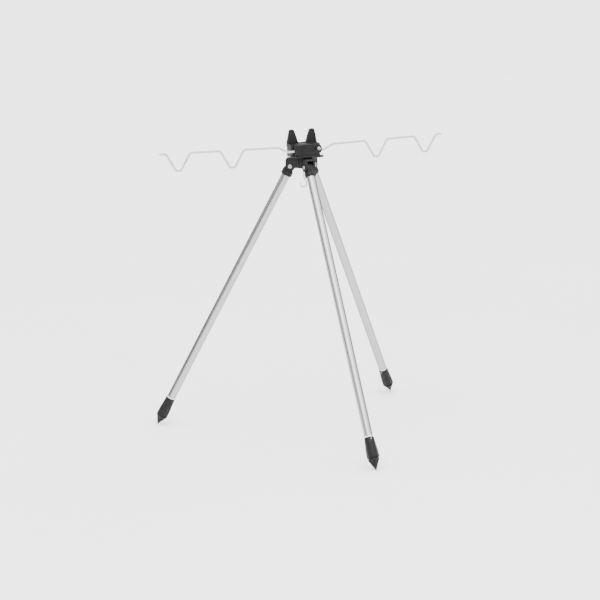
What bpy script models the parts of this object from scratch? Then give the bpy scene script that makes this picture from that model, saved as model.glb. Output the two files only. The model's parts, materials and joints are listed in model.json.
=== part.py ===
"""A folding tripod rest for feeder rods: three telescopic tube legs hinged to a hub, a two-horned
yoke on top, two folding wire arms with V-notches, and a swivelling hook under the hub.

Metres, +Z up. The arms lie along X, the front of the rest faces -Y, and the feet stand on Z = 0.
"""

import math

import bmesh
import bpy
from mathutils import Matrix, Vector

GAP = 0.0003  # clearance between two touching pieces
HUB_Y = 0.07265  # the hub's upright axis, measured from the middle of the whole rest

# Legs
LEG_NAMES = ("left", "front", "right")
LEG_AZIMUTHS = (150.0, -90.0, 30.0)
LEG_SPREAD = math.radians(28.14)  # a leg's angle from upright when it rests on its stop
LEG_LENGTH = 0.5873  # from a leg's pivot to the point of its foot
PIVOT_RADIUS = 0.0244  # from the hub's axis to a leg's pivot
TIP_ROUND = 0.0016
PIVOT_Z = (LEG_LENGTH - TIP_ROUND) * math.cos(LEG_SPREAD) + TIP_ROUND

OUTER_TUBE_R = 0.0080
OUTER_BORE_R = 0.0071
INNER_TUBE_R = 0.0060
INNER_BORE_R = 0.0051
FOOT_LENGTH = 0.0607
BUSH_FLANGE = 0.0026
TUBE_START = 0.0118  # where the outer tube begins, measured down from the pivot
TUBE_END = LEG_LENGTH - FOOT_LENGTH - BUSH_FLANGE - 2 * GAP
INNER_START = 0.0450
FOOT_SOCKET = 0.0220  # depth of the foot's socket for the inner tube

# Clevises and leg sockets
EAR_R = 0.0090
EAR_OUTER = 0.0096
EAR_INNER = 0.0060
TONGUE_HALF = 0.0057
TONGUE_R = 0.0081
HEEL_R = 0.0104
SOCKET_R = 0.01025
SOCKET_TOP = 0.0095
SOCKET_END = 0.0195
RIVET_R = 0.0020
RIVET_HEAD_R = 0.0040

# Hub
CORE_R = 0.0160
HUB_BOTTOM = PIVOT_Z - 0.0035
HUB_TOP = PIVOT_Z + 0.0187
EAR_TOP = PIVOT_Z + 0.0155  # the clevises are lower than the core, to clear the cover
SLOT_TOP = PIVOT_Z + 0.0120
HUB_BORE_R = 0.0073
CROSS_PIN_R = 0.0015
CROSS_PIN_Z = HUB_BOTTOM + 0.0065
CROSS_PIN_HALF = 0.0154

# Yoke
YOKE_BOTTOM = HUB_TOP + GAP
SPIGOT_R = 0.0070
SPIGOT_BOTTOM = HUB_BOTTOM + 0.0008
HOOK_SLOT_HALF = 0.0015
YOKE_SHOULDER = YOKE_BOTTOM + 0.0235
YOKE_X = 0.0018  # middle of the block and of the horns, which stand a little to the right
YOKE_HALF_WIDTH = 0.0305
YOKE_FRONT = -0.0097
YOKE_BACK = 0.0140
HORN_FRONT = 0.0060
SADDLE_Z = YOKE_BOTTOM + 0.0252
SADDLE_HALF_WIDTH = 0.0072
HORN_TOP = YOKE_BOTTOM + 0.0500

# Wire arms
WIRE_R = 0.0020
ARM_Y = -0.0120
EYE_R = 0.0039
ARM_PIVOT_Z = YOKE_BOTTOM + 0.0146
ARM_PIVOTS = {"left": -0.0130, "right": 0.0245}
ROOT_DROP = 0.0095  # how far the root of an arm lies under its outer run
JOG_START = 0.0370
JOG_END = 0.0570
ARM_RISE = 0.0173  # slope of an arm, upwards and outwards
ARM_END = 0.2927
NOTCH_CENTRES = (0.1495, 0.2560)
NOTCH_HALF_TOP = 0.0235
NOTCH_HALF_BOTTOM = 0.0048
NOTCH_DEPTH = 0.0319
WIRE_SIDES = 10

# Ledge and cover in front of the yoke
LEDGE_TOP = ARM_PIVOT_Z - EYE_R - WIRE_R - GAP
LEDGE_THICK = 0.0026
COVER_BACK = ARM_Y - WIRE_R - 0.0004
COVER_FRONT = COVER_BACK - 0.0034
COVER_LEFT = -0.0243
COVER_TOP = YOKE_BOTTOM + 0.0232
COVER_BOTTOM = YOKE_BOTTOM + 0.0003
BOSS_X = 0.0228
BOSS_Z = ARM_PIVOT_Z - 0.0008
BOSS_R = 0.0090
BOSS_RAISED = 0.0008
SPACER = (-0.0045, 0.0160)
BARREL_Y = -0.0188
BARREL_Z = YOKE_BOTTOM - 0.0004
BARREL_R = 0.0024
BARREL_ENDS = (-0.0185, 0.0245)
LUGS = {"left": (-0.0225, -0.0188), "right": (0.0248, 0.0285)}
PIN_R = 0.0012
PIN_LENGTH = 0.0530
KNOB_R = 0.0024
KNOB_LENGTH = 0.0046
ARM_PIN_R = 0.0016
ARM_PIN_END = 0.0040
ARM_RIVET_HEAD_R = 0.0034

# Hook
HOOK_WIRE_R = 0.0009
HOOK_EYE_R = 0.0028
HOOK_SHANK = 0.0250
HOOK_DROP = 0.0446
HOOK_R = 0.0066

# Feet and leg hardware
FOOT_TOP = LEG_LENGTH - FOOT_LENGTH
FOOT_SEGMENTS = 24
FOOT_PIN_R = 0.0009
FOOT_PIN_DROP = 0.0032
FOOT_PIN_HALF = 0.0089
BUSH_SLEEVE = 0.0200
EXPANDER_TOP = 0.0235
EXPANDER_END = 0.0425


def clear_scene():
    for obj in list(bpy.data.objects):
        bpy.data.objects.remove(obj, do_unlink=True)


def material(name, colour, roughness, metallic=0.0):
    made = bpy.data.materials.new(name)
    made.use_nodes = True
    shader = made.node_tree.nodes["Principled BSDF"]
    shader.inputs["Base Color"].default_value = (*colour, 1.0)
    shader.inputs["Roughness"].default_value = roughness
    shader.inputs["Metallic"].default_value = metallic
    return made


def arc(centre, radius, start, end, steps):
    """Points on an arc, with its angles in degrees and both ends included."""
    turns = (math.radians(start + (end - start) * i / steps) for i in range(steps + 1))
    return [(centre[0] + radius * math.cos(a), centre[1] + radius * math.sin(a)) for a in turns]


def filleted(corners, radii, steps=5):
    """A path through corners, each inner one rounded by its radius."""
    path = [corners[0]]
    for before, corner, after, radius in zip(corners, corners[1:], corners[2:], radii):
        here = Vector(corner)
        back = (Vector(before) - here).normalized()
        ahead = (Vector(after) - here).normalized()
        half = back.angle(ahead) / 2
        start = here + back * radius / math.tan(half)
        end = here + ahead * radius / math.tan(half)
        centre = here + (back + ahead).normalized() * radius / math.sin(half)
        first, last = start - centre, end - centre
        at = math.degrees(math.atan2(first.y, first.x))
        turn = -math.degrees(first.angle_signed(last))
        path += arc(centre, radius, at, at + turn, steps)
    return [*path, corners[-1]]


def finish_mesh(bm, name, surface, smooth=None):
    bmesh.ops.recalc_face_normals(bm, faces=bm.faces)
    mesh = bpy.data.meshes.new(name)
    bm.to_mesh(mesh)
    bm.free()
    mesh.materials.append(surface)
    if smooth is not None:
        mesh.shade_smooth()
        mesh.set_sharp_from_angle(angle=math.radians(smooth))
    return mesh


def place(name, mesh, parent=None, matrix=None):
    """A new object, at its own matrix in its parent's space."""
    obj = bpy.data.objects.new(name, mesh)
    bpy.context.scene.collection.objects.link(obj)
    obj.parent = parent
    if matrix is not None:
        obj.matrix_local = matrix
    return obj


def turned(profile, segments):
    """A solid turned about Z from a closed outline of (radius, height) points."""
    bm = bmesh.new()
    rings = []
    for radius, height in profile:
        if radius < 1e-7:
            rings.append([bm.verts.new((0.0, 0.0, height))])
            continue
        angles = (2 * math.pi * i / segments for i in range(segments))
        rings.append(
            [bm.verts.new((radius * math.cos(a), radius * math.sin(a), height)) for a in angles]
        )
    for first, second in zip(rings, [*rings[1:], rings[0]]):
        for i in range(segments):
            j = (i + 1) % segments
            corners = [first[i % len(first)], first[j % len(first)]]
            corners += [second[j % len(second)], second[i % len(second)]]
            corners = list(dict.fromkeys(corners))
            if len(corners) > 2:
                bm.faces.new(corners)
    return bm


def prism(outline, low, high, normal="Y"):
    """An outline pushed through from low to high. Points: (x, z) for Y, (y, z) for X, (x, y) for Z."""
    bm = bmesh.new()
    if normal == "Y":
        corners = [bm.verts.new((x, low, z)) for x, z in outline]
        push = Vector((0.0, high - low, 0.0))
    elif normal == "X":
        corners = [bm.verts.new((low, y, z)) for y, z in outline]
        push = Vector((high - low, 0.0, 0.0))
    else:
        corners = [bm.verts.new((x, y, low)) for x, y in outline]
        push = Vector((0.0, 0.0, high - low))
    face = bm.faces.new(corners)
    made = bmesh.ops.extrude_face_region(bm, geom=[face])
    moved = [item for item in made["geom"] if isinstance(item, bmesh.types.BMVert)]
    bmesh.ops.translate(bm, verts=moved, vec=push)
    return bm


def rod(radius, low, high, segments=16, chamfer=0.0):
    """A plain cylinder on Z, with chamfered ends where asked."""
    if chamfer:
        return turned(
            [
                (0.0, high),
                (radius - chamfer, high),
                (radius, high - chamfer),
                (radius, low + chamfer),
                (radius - chamfer, low),
                (0.0, low),
            ],
            segments,
        )
    return turned([(0.0, high), (radius, high), (radius, low), (0.0, low)], segments)


def bent_wire(path, radius, sides):
    """A round wire along a path of (x, z) points in the plane Y = 0."""
    bm = bmesh.new()
    points = [Vector((x, 0.0, z)) for x, z in path]
    rings = []
    for i, point in enumerate(points):
        before = points[max(i - 1, 0)]
        after = points[min(i + 1, len(points) - 1)]
        ahead = ((after - point).normalized() + (point - before).normalized()).normalized()
        across = Vector((-ahead.z, 0.0, ahead.x))
        into = after - point if i == 0 else point - before
        stretch = radius / max(ahead.dot(into.normalized()), 0.5)
        ring = []
        for k in range(sides):
            turn = 2 * math.pi * k / sides
            offset = across * stretch * math.cos(turn) + Vector((0, radius * math.sin(turn), 0))
            ring.append(bm.verts.new(point + offset))
        rings.append(ring)
    for first, second in zip(rings, rings[1:]):
        for k in range(sides):
            n = (k + 1) % sides
            bm.faces.new((first[k], first[n], second[n], second[k]))
    bm.faces.new(rings[0])
    bm.faces.new(reversed(rings[-1]))
    return bm


def helper(name, bm, parent=None, matrix=None):
    """A solid that only shapes another object."""
    mesh = finish_mesh(bm, name, HELPER)
    obj = place(name, mesh, parent, matrix)
    obj.hide_render = True
    obj.display_type = "WIRE"
    return obj


def combine(target, tool, operation):
    modifier = target.modifiers.new(f"{operation.lower()}_{tool.name}", "BOOLEAN")
    modifier.operation = operation
    modifier.solver = "EXACT"
    modifier.object = tool


def along_y(x, y, z):
    """Turns a solid made on Z so that it points along -Y from (x, y, z)."""
    return Matrix.Translation((x, y, z)) @ Matrix.Rotation(math.radians(90), 4, "X")


def along_x(x, y, z):
    """Turns a solid made on Z so that it points along +X from (x, y, z)."""
    return Matrix.Translation((x, y, z)) @ Matrix.Rotation(math.radians(90), 4, "Y")


def clevis_outline():
    """One ear of a clevis, with the bar behind it, as (distance from the hub's axis, height)."""
    outer = PIVOT_RADIUS + EAR_R
    rounding = 0.0040
    return [
        (0.0, EAR_TOP),
        (0.0, HUB_BOTTOM),
        (PIVOT_RADIUS - EAR_R, HUB_BOTTOM),
        *arc((PIVOT_RADIUS, PIVOT_Z), EAR_R, 222, 360, 9),
        *arc((outer - rounding, EAR_TOP - rounding), rounding, 0, 90, 4),
    ]


def make_hub(axis):
    """The moulded hub: a core on the yoke's spigot, and three clevises at 120 degrees."""
    core = [(0.0, HUB_TOP), (CORE_R, HUB_TOP), (CORE_R, HUB_BOTTOM + 0.0010)]
    core += [(CORE_R - 0.0010, HUB_BOTTOM), (0.0, HUB_BOTTOM)]
    hub = place("leg_hub", finish_mesh(turned(core, 32), "leg_hub", BLACK_PLASTIC), axis)
    slot_outline = [
        (CORE_R, SLOT_TOP),
        (CORE_R, HUB_BOTTOM - 0.0200),
        (0.0500, HUB_BOTTOM - 0.0200),
        (0.0500, SLOT_TOP),
    ]
    turns = [Matrix.Rotation(math.radians(azimuth), 4, "Z") for azimuth in LEG_AZIMUTHS]
    for name, turn in zip(LEG_NAMES, turns):
        bar = prism(clevis_outline(), -EAR_OUTER, EAR_OUTER)
        combine(hub, helper(f"clevis_bar_{name}", bar, axis, turn), "UNION")
    for name, turn in zip(LEG_NAMES, turns):
        slot = prism(slot_outline, -EAR_INNER, EAR_INNER)
        combine(hub, helper(f"clevis_slot_{name}", slot, axis, turn), "DIFFERENCE")
        bore = rod(RIVET_R + GAP, -0.0150, 0.0150, 16)
        across = turn @ along_y(PIVOT_RADIUS, 0.0, PIVOT_Z)
        combine(hub, helper(f"clevis_bore_{name}", bore, axis, across), "DIFFERENCE")
    spigot_bore = rod(HUB_BORE_R, HUB_BOTTOM - 0.0050, HUB_TOP + 0.0050, 24)
    combine(hub, helper("spigot_bore", spigot_bore, axis), "DIFFERENCE")
    pin_bore = rod(CROSS_PIN_R + GAP, -0.0300, 0.0300, 12)
    pin_at = along_y(0.0, 0.0, CROSS_PIN_Z)
    combine(hub, helper("hub_pin_bore", pin_bore, axis, pin_at), "DIFFERENCE")


def horn_outline():
    """The two horns and the saddle between them, as (x, z)."""
    half = [
        (YOKE_HALF_WIDTH, YOKE_BOTTOM + 0.0180),
        (YOKE_HALF_WIDTH - 0.0001, SADDLE_Z + 0.0010),
        (0.0281, SADDLE_Z + 0.0122),
        *arc((0.0229, HORN_TOP - 0.0030), 0.0030, 10, 90, 4),
        *arc((0.0192, HORN_TOP - 0.0032), 0.0032, 100, 165, 3),
        (SADDLE_HALF_WIDTH + 0.0052, SADDLE_Z + 0.0127),
        (SADDLE_HALF_WIDTH + 0.0022, SADDLE_Z + 0.0027),
        (SADDLE_HALF_WIDTH, SADDLE_Z),
    ]
    return [(YOKE_X + x, z) for x, z in half] + [(YOKE_X - x, z) for x, z in reversed(half)]


def make_yoke(axis):
    """The yoke: a block on a spigot, the horned plate at its back, the arms' ledge and two lugs."""
    corner = 0.0030
    left = YOKE_X - YOKE_HALF_WIDTH + corner
    right = YOKE_X + YOKE_HALF_WIDTH - corner
    base = [
        *arc((right, YOKE_BACK - corner), corner, 0, 90, 3),
        *arc((left, YOKE_BACK - corner), corner, 90, 180, 3),
        *arc((left, YOKE_FRONT + corner), corner, 180, 270, 3),
        *arc((right, YOKE_FRONT + corner), corner, 270, 360, 3),
    ]
    block = prism(base, YOKE_BOTTOM, YOKE_SHOULDER, "Z")
    yoke = place("yoke", finish_mesh(block, "yoke", BLACK_PLASTIC), axis)
    spigot = rod(SPIGOT_R, SPIGOT_BOTTOM, YOKE_BOTTOM + 0.0040, 24)
    combine(yoke, helper("spigot", spigot, axis), "UNION")
    horns = prism(horn_outline(), HORN_FRONT, YOKE_BACK)
    combine(yoke, helper("horn_plate", horns, axis), "UNION")
    front = COVER_BACK + GAP
    ledge_outline = [
        (front, LEDGE_TOP),
        (YOKE_FRONT + 0.0010, LEDGE_TOP),
        (YOKE_FRONT + 0.0010, LEDGE_TOP - LEDGE_THICK),
        (front, LEDGE_TOP - LEDGE_THICK),
    ]
    ledge = prism(ledge_outline, left - 0.0023, right + 0.0027, "X")
    combine(yoke, helper("arm_ledge", ledge, axis), "UNION")
    for side, (low, high) in LUGS.items():
        lug_outline = [
            *arc((BARREL_Y, BARREL_Z), BARREL_R, 95, 265, 7),
            (YOKE_FRONT + 0.0010, YOKE_BOTTOM + 0.0004),
            (YOKE_FRONT + 0.0010, LEDGE_TOP - 0.0010),
            (front, LEDGE_TOP - 0.0010),
            (front, BARREL_Z + BARREL_R - 0.0001),
        ]
        lug = helper(f"pin_lug_{side}", prism(lug_outline, low, high, "X"), axis)
        combine(yoke, lug, "UNION")
    bore = rod(PIN_R + GAP, -0.0400, 0.0400, 12)
    combine(yoke, helper("lug_bore", bore, axis, along_x(0, BARREL_Y, BARREL_Z)), "DIFFERENCE")
    for side, x in ARM_PIVOTS.items():
        bore = rod(ARM_PIN_R + GAP, -ARM_PIN_END - GAP, 0.0300, 16)
        at = along_y(x, 0.0, ARM_PIVOT_Z)
        combine(yoke, helper(f"arm_bore_{side}", bore, axis, at), "DIFFERENCE")
    hook_slot = [
        (-0.0100, SPIGOT_BOTTOM - 0.0050),
        (0.0100, SPIGOT_BOTTOM - 0.0050),
        (0.0100, CROSS_PIN_Z + HOOK_EYE_R + HOOK_WIRE_R + 0.0008),
        (-0.0100, CROSS_PIN_Z + HOOK_EYE_R + HOOK_WIRE_R + 0.0008),
    ]
    slot = prism(hook_slot, -HOOK_SLOT_HALF, HOOK_SLOT_HALF)
    combine(yoke, helper("hook_slot", slot, axis), "DIFFERENCE")
    bore = rod(CROSS_PIN_R + GAP, -0.0300, 0.0300, 12)
    at = along_y(0.0, 0.0, CROSS_PIN_Z)
    combine(yoke, helper("spigot_pin_bore", bore, axis, at), "DIFFERENCE")


def make_cover(axis):
    """The cover over the roots of the arms: a plate with a round end, a spacer and a barrel."""
    over_lugs = BARREL_Z + BARREL_R + 0.0004
    low, high = BARREL_ENDS
    plate_outline = [
        (COVER_LEFT, COVER_TOP),
        (COVER_LEFT, over_lugs),
        (low, over_lugs),
        (low, COVER_BOTTOM),
        (high, COVER_BOTTOM),
        (high, over_lugs),
        *arc((BOSS_X, BOSS_Z), BOSS_R, -58, 84, 8),
        (BOSS_X - 0.0030, COVER_TOP),
    ]
    plate = prism(plate_outline, COVER_FRONT, COVER_BACK)
    cover = place("arm_cover", finish_mesh(plate, "arm_cover", BLACK_PLASTIC), axis)
    pad = [
        (SPACER[0], COVER_TOP - 0.0004),
        (SPACER[0], LEDGE_TOP + 0.0020),
        (SPACER[1], LEDGE_TOP + 0.0020),
        (SPACER[1], COVER_TOP - 0.0004),
    ]
    spacer = prism(pad, COVER_BACK - 0.0010, YOKE_FRONT - GAP)
    combine(cover, helper("cover_spacer", spacer, axis), "UNION")
    barrel = rod(BARREL_R, low, high, 20)
    at = along_x(0.0, BARREL_Y, BARREL_Z)
    combine(cover, helper("cover_barrel", barrel, axis, at), "UNION")
    boss = rod(ARM_RIVET_HEAD_R + 0.0022, -COVER_BACK + 0.0010, -COVER_FRONT + BOSS_RAISED, 24)
    at = along_y(ARM_PIVOTS["right"], 0.0, ARM_PIVOT_Z)
    combine(cover, helper("cover_boss", boss, axis, at), "UNION")
    bore = rod(ARM_PIN_R + GAP, 0.0, 0.0400, 16)
    combine(cover, helper("cover_rivet_bore", bore, axis, at), "DIFFERENCE")
    bore = rod(PIN_R + GAP, -0.0400, 0.0400, 12)
    at = along_x(0.0, BARREL_Y, BARREL_Z)
    combine(cover, helper("barrel_bore", bore, axis, at), "DIFFERENCE")


def make_head_hardware(axis):
    """The arms' pins, the cover's pull pin and the cross pin that carries the hook."""
    head_face = -COVER_FRONT + BOSS_RAISED + GAP
    rivet = turned(
        [
            (0.0, head_face + 0.0007),
            (0.0008, head_face + 0.0007),
            (0.0010, head_face + 0.0013),
            (0.0024, head_face + 0.0013),
            (ARM_RIVET_HEAD_R, head_face + 0.0005),
            (ARM_RIVET_HEAD_R, head_face),
            (ARM_PIN_R, head_face),
            (ARM_PIN_R, -ARM_PIN_END),
            (0.0, -ARM_PIN_END),
        ],
        16,
    )
    at = along_y(ARM_PIVOTS["right"], 0.0, ARM_PIVOT_Z)
    place("arm_rivet_right", finish_mesh(rivet, "arm_rivet_right", STEEL, 40), axis, at)
    pin = rod(ARM_PIN_R, -ARM_PIN_END, -COVER_BACK - GAP, 16, 0.0003)
    at = along_y(ARM_PIVOTS["left"], 0.0, ARM_PIVOT_Z)
    place("arm_pin_left", finish_mesh(pin, "arm_pin_left", STEEL, 40), axis, at)
    pin = rod(CROSS_PIN_R, -CROSS_PIN_HALF, CROSS_PIN_HALF, 16, 0.0003)
    at = along_y(0.0, 0.0, CROSS_PIN_Z)
    place("hub_cross_pin", finish_mesh(pin, "hub_cross_pin", STEEL, 40), axis, at)
    knob = LUGS["right"][1] + GAP
    pull_pin = turned(
        [
            (0.0, knob + KNOB_LENGTH),
            (KNOB_R - 0.0008, knob + KNOB_LENGTH),
            (KNOB_R, knob + KNOB_LENGTH - 0.0008),
            (KNOB_R, knob + 0.0008),
            (KNOB_R - 0.0008, knob),
            (PIN_R, knob),
            (PIN_R, knob - PIN_LENGTH + 0.0005),
            (PIN_R - 0.0005, knob - PIN_LENGTH),
            (0.0, knob - PIN_LENGTH),
        ],
        16,
    )
    at = along_x(0.0, BARREL_Y, BARREL_Z)
    place("cover_pull_pin", finish_mesh(pull_pin, "cover_pull_pin", PIN_STEEL, 40), axis, at)


def arm_run_z(s):
    """Height of an arm's outer run over its own root, at distance s from the hub's axis."""
    return ROOT_DROP + ARM_RISE * (s - JOG_END)


def arm_path(pivot_s):
    """An arm's centreline from its eye outwards, as (distance outwards from its pivot, height)."""
    root = -EYE_R
    corners = [(0.0, root), (JOG_START, root), (JOG_END, root + ROOT_DROP)]
    radii = [0.0120, 0.0120]
    for centre in NOTCH_CENTRES:
        top_in = centre - NOTCH_HALF_TOP
        top_out = centre + NOTCH_HALF_TOP
        bottom = root + arm_run_z(centre) - NOTCH_DEPTH
        corners += [
            (top_in, root + arm_run_z(top_in)),
            (centre - NOTCH_HALF_BOTTOM, bottom),
            (centre + NOTCH_HALF_BOTTOM, bottom),
            (top_out, root + arm_run_z(top_out)),
        ]
        radii += [0.0085, 0.0042, 0.0042, 0.0085]
    corners.append((ARM_END, root + arm_run_z(ARM_END)))
    run = filleted([(s - pivot_s if s else 0.0, z) for s, z in corners], radii)
    return [*arc((0.0, 0.0), EYE_R, 14, 270, 16), *run[1:]]


def make_arms(axis):
    """Two wire arms, mirror images of each other, each with an eye around its own pin."""
    for side, pivot in ARM_PIVOTS.items():
        outwards = 1.0 if side == "right" else -1.0
        path = arm_path(pivot * outwards)
        wire = bent_wire([(x * outwards, z) for x, z in path], WIRE_R, WIRE_SIDES)
        at = Matrix.Translation((pivot, ARM_Y, ARM_PIVOT_Z))
        place(f"rod_arm_{side}", finish_mesh(wire, f"rod_arm_{side}", WIRE, 50), axis, at)


def make_hook(axis):
    """The wire hook that hangs from the cross pin."""
    bottom = -HOOK_DROP
    neck = [(0.0, -HOOK_EYE_R - 0.0016), (0.0, -HOOK_SHANK)]
    eye = arc((0.0, 0.0), HOOK_EYE_R, 250, -60, 14)
    centre = (0.0, bottom + HOOK_R + HOOK_WIRE_R)
    bend = arc(centre, HOOK_R, 20, -175, 12)
    path = filleted([*neck, bend[0]], [0.0060], 4)
    path = [*eye, *path, *bend[1:], (bend[-1][0] - 0.0006, bend[-1][1] + 0.0028)]
    wire = bent_wire(path, HOOK_WIRE_R, 8)
    at = Matrix.Translation((0.0, 0.0, CROSS_PIN_Z))
    place("hook", finish_mesh(wire, "hook", STEEL, 50), axis, at)


def into_leg(points):
    """Points given in the hub's upright frame, as they lie in the frame of a spread leg."""
    c, s = math.cos(LEG_SPREAD), math.sin(LEG_SPREAD)
    return [(x * c + z * s, -x * s + z * c) for x, z in points]


def make_socket(name, frame):
    """A leg's socket: a tongue on the pivot, with a heel that stops the leg, and a collar."""
    heel_z = math.sqrt(HEEL_R**2 - TONGUE_R**2)
    heel_at = math.degrees(math.atan2(heel_z, -TONGUE_R))
    heel = into_leg([(-TONGUE_R, 0.0), *reversed(arc((0, 0), HEEL_R, 108, heel_at, 5))])
    tongue_outline = [
        *arc((0, 0), TONGUE_R, 0, 100, 7),
        *reversed(heel),
        (-TONGUE_R, -0.0030),
        (-TONGUE_R, -SOCKET_TOP - 0.0010),
        (TONGUE_R, -SOCKET_TOP - 0.0010),
    ]
    tongue = prism(tongue_outline, -TONGUE_HALF, TONGUE_HALF)
    label = f"leg_socket_{name}"
    socket = place(label, finish_mesh(tongue, label, BLACK_PLASTIC), frame)
    collar = rod(SOCKET_R, -SOCKET_END, -SOCKET_TOP, 24, 0.0006)
    combine(socket, helper(f"socket_collar_{name}", collar, frame), "UNION")
    bore = rod(OUTER_TUBE_R + GAP, -SOCKET_END - 0.0100, -TUBE_START + GAP, 24)
    combine(socket, helper(f"socket_bore_{name}", bore, frame), "DIFFERENCE")
    cross = rod(RIVET_R + GAP, -0.0150, 0.0150, 16)
    at = along_y(0.0, 0.0, 0.0)
    combine(socket, helper(f"tongue_bore_{name}", cross, frame, at), "DIFFERENCE")


def leg_rivet():
    head = EAR_OUTER + GAP
    half = [(0.0, head + 0.0004), (0.0010, head + 0.0004), (0.0012, head + 0.0012)]
    half += [(0.0029, head + 0.0012), (RIVET_HEAD_R, head + 0.0004), (RIVET_HEAD_R, head)]
    half += [(RIVET_R, head)]
    return turned([*half, *((radius, -height) for radius, height in reversed(half))], 16)


def pipe(outer, inner, top, bottom, segments=24):
    profile = [(outer, -top), (outer, -bottom), (inner, -bottom), (inner, -top)]
    return turned(profile, segments)


def end_bush():
    """The guide in the lower end of an outer tube: a flange under the tube, and a sleeve inside it."""
    flange_top = TUBE_END + GAP
    bore = INNER_TUBE_R + GAP
    sleeve = OUTER_BORE_R - GAP
    profile = [
        (sleeve, -(flange_top - BUSH_SLEEVE)),
        (sleeve, -flange_top),
        (OUTER_TUBE_R + 0.0002, -flange_top),
        (OUTER_TUBE_R + 0.0002, -(flange_top + BUSH_FLANGE)),
        (bore, -(flange_top + BUSH_FLANGE)),
        (bore, -(flange_top - BUSH_SLEEVE)),
    ]
    return turned(profile, 24)


def expander():
    outer = OUTER_BORE_R - GAP
    profile = [
        (outer, -EXPANDER_TOP),
        (outer, -EXPANDER_END),
        (0.0026, -EXPANDER_END),
        (0.0026, -(EXPANDER_TOP + 0.0080)),
        (0.0049, -EXPANDER_TOP),
    ]
    return turned(profile, 24)


def cone_screw():
    """The screw in the top of an inner tube, whose cone spreads the expander."""
    profile = [
        (0.0, -(EXPANDER_TOP - 0.0035)),
        (0.0044, -(EXPANDER_TOP - 0.0035)),
        (0.0044, -(EXPANDER_TOP - 0.0005)),
        (0.0021, -(EXPANDER_TOP + 0.0072)),
        (0.0021, -(EXPANDER_END + GAP)),
        (INNER_TUBE_R, -(EXPANDER_END + GAP)),
        (INNER_TUBE_R, -(INNER_START - GAP)),
        (INNER_BORE_R - GAP, -(INNER_START - GAP)),
        (INNER_BORE_R - GAP, -(INNER_START + 0.0150)),
        (0.0, -(INNER_START + 0.0150)),
    ]
    return turned(profile, 20)


def make_foot(name, frame):
    """A pointed foot: a socket on the inner tube, a fluted grip, a groove and a ribbed cone."""
    tip_centre = FOOT_LENGTH - TIP_ROUND
    rows = [
        (0.0084, 1.0, 0.0),
        (0.0092, 1.0, 0.0008),
        (0.0094, 1.0, 0.0090),
        (0.0101, 0.95, 0.0120),
        (0.0113, 0.93, 0.0240),
        (0.0119, 0.93, 0.0350),
        (0.0119, 1.0, 0.0368),
        (0.0108, 1.0, 0.0385),
        (0.0098, 1.0, 0.0388),
        (0.0098, 1.0, 0.0402),
        (0.0110, 1.0, 0.0405),
        (0.0110, 0.86, 0.0420),
        (0.0064, 0.84, 0.0500),
        (0.0026, 0.90, 0.0570),
        (TIP_ROUND * 0.94, 1.0, tip_centre + TIP_ROUND * 0.3),
        (TIP_ROUND * 0.60, 1.0, tip_centre + TIP_ROUND * 0.8),
        (0.0, 1.0, FOOT_LENGTH),
    ]
    bm = bmesh.new()
    rings = []
    for radius, squeeze, drop in rows:
        height = -(FOOT_TOP + drop)
        if radius < 1e-7:
            rings.append([bm.verts.new((0.0, 0.0, height))])
            continue
        ring = []
        for i in range(FOOT_SEGMENTS):
            turn = 2 * math.pi * i / FOOT_SEGMENTS
            reach = radius * (squeeze if i % 2 else 1.0)
            ring.append(bm.verts.new((reach * math.cos(turn), reach * math.sin(turn), height)))
        rings.append(ring)
    bm.faces.new(rings[0])
    for first, second in zip(rings, rings[1:]):
        for i in range(FOOT_SEGMENTS):
            j = (i + 1) % FOOT_SEGMENTS
            if len(second) == 1:
                bm.faces.new((first[i], first[j], second[0]))
            else:
                bm.faces.new((first[i], first[j], second[j], second[i]))
    label = f"foot_{name}"
    foot = place(label, finish_mesh(bm, label, BLACK_PLASTIC), frame)
    bore = rod(INNER_TUBE_R + GAP, -(FOOT_TOP + FOOT_SOCKET), -(FOOT_TOP - 0.0100), 24)
    combine(foot, helper(f"foot_socket_{name}", bore, frame), "DIFFERENCE")
    cross = rod(FOOT_PIN_R + GAP, -0.0200, 0.0200, 12)
    at = along_x(0.0, 0.0, -(FOOT_TOP + FOOT_PIN_DROP))
    combine(foot, helper(f"foot_pin_bore_{name}", cross, frame, at), "DIFFERENCE")


def make_inner_tube(name, frame):
    label = f"leg_tube_inner_{name}"
    tube = pipe(INNER_TUBE_R, INNER_BORE_R, INNER_START, FOOT_TOP + FOOT_SOCKET - GAP)
    inner = place(label, finish_mesh(tube, label, ALUMINIUM), frame)
    cross = rod(FOOT_PIN_R + GAP, -0.0200, 0.0200, 12)
    at = along_x(0.0, 0.0, -(FOOT_TOP + FOOT_PIN_DROP))
    combine(inner, helper(f"tube_pin_bore_{name}", cross, frame, at), "DIFFERENCE")


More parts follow.
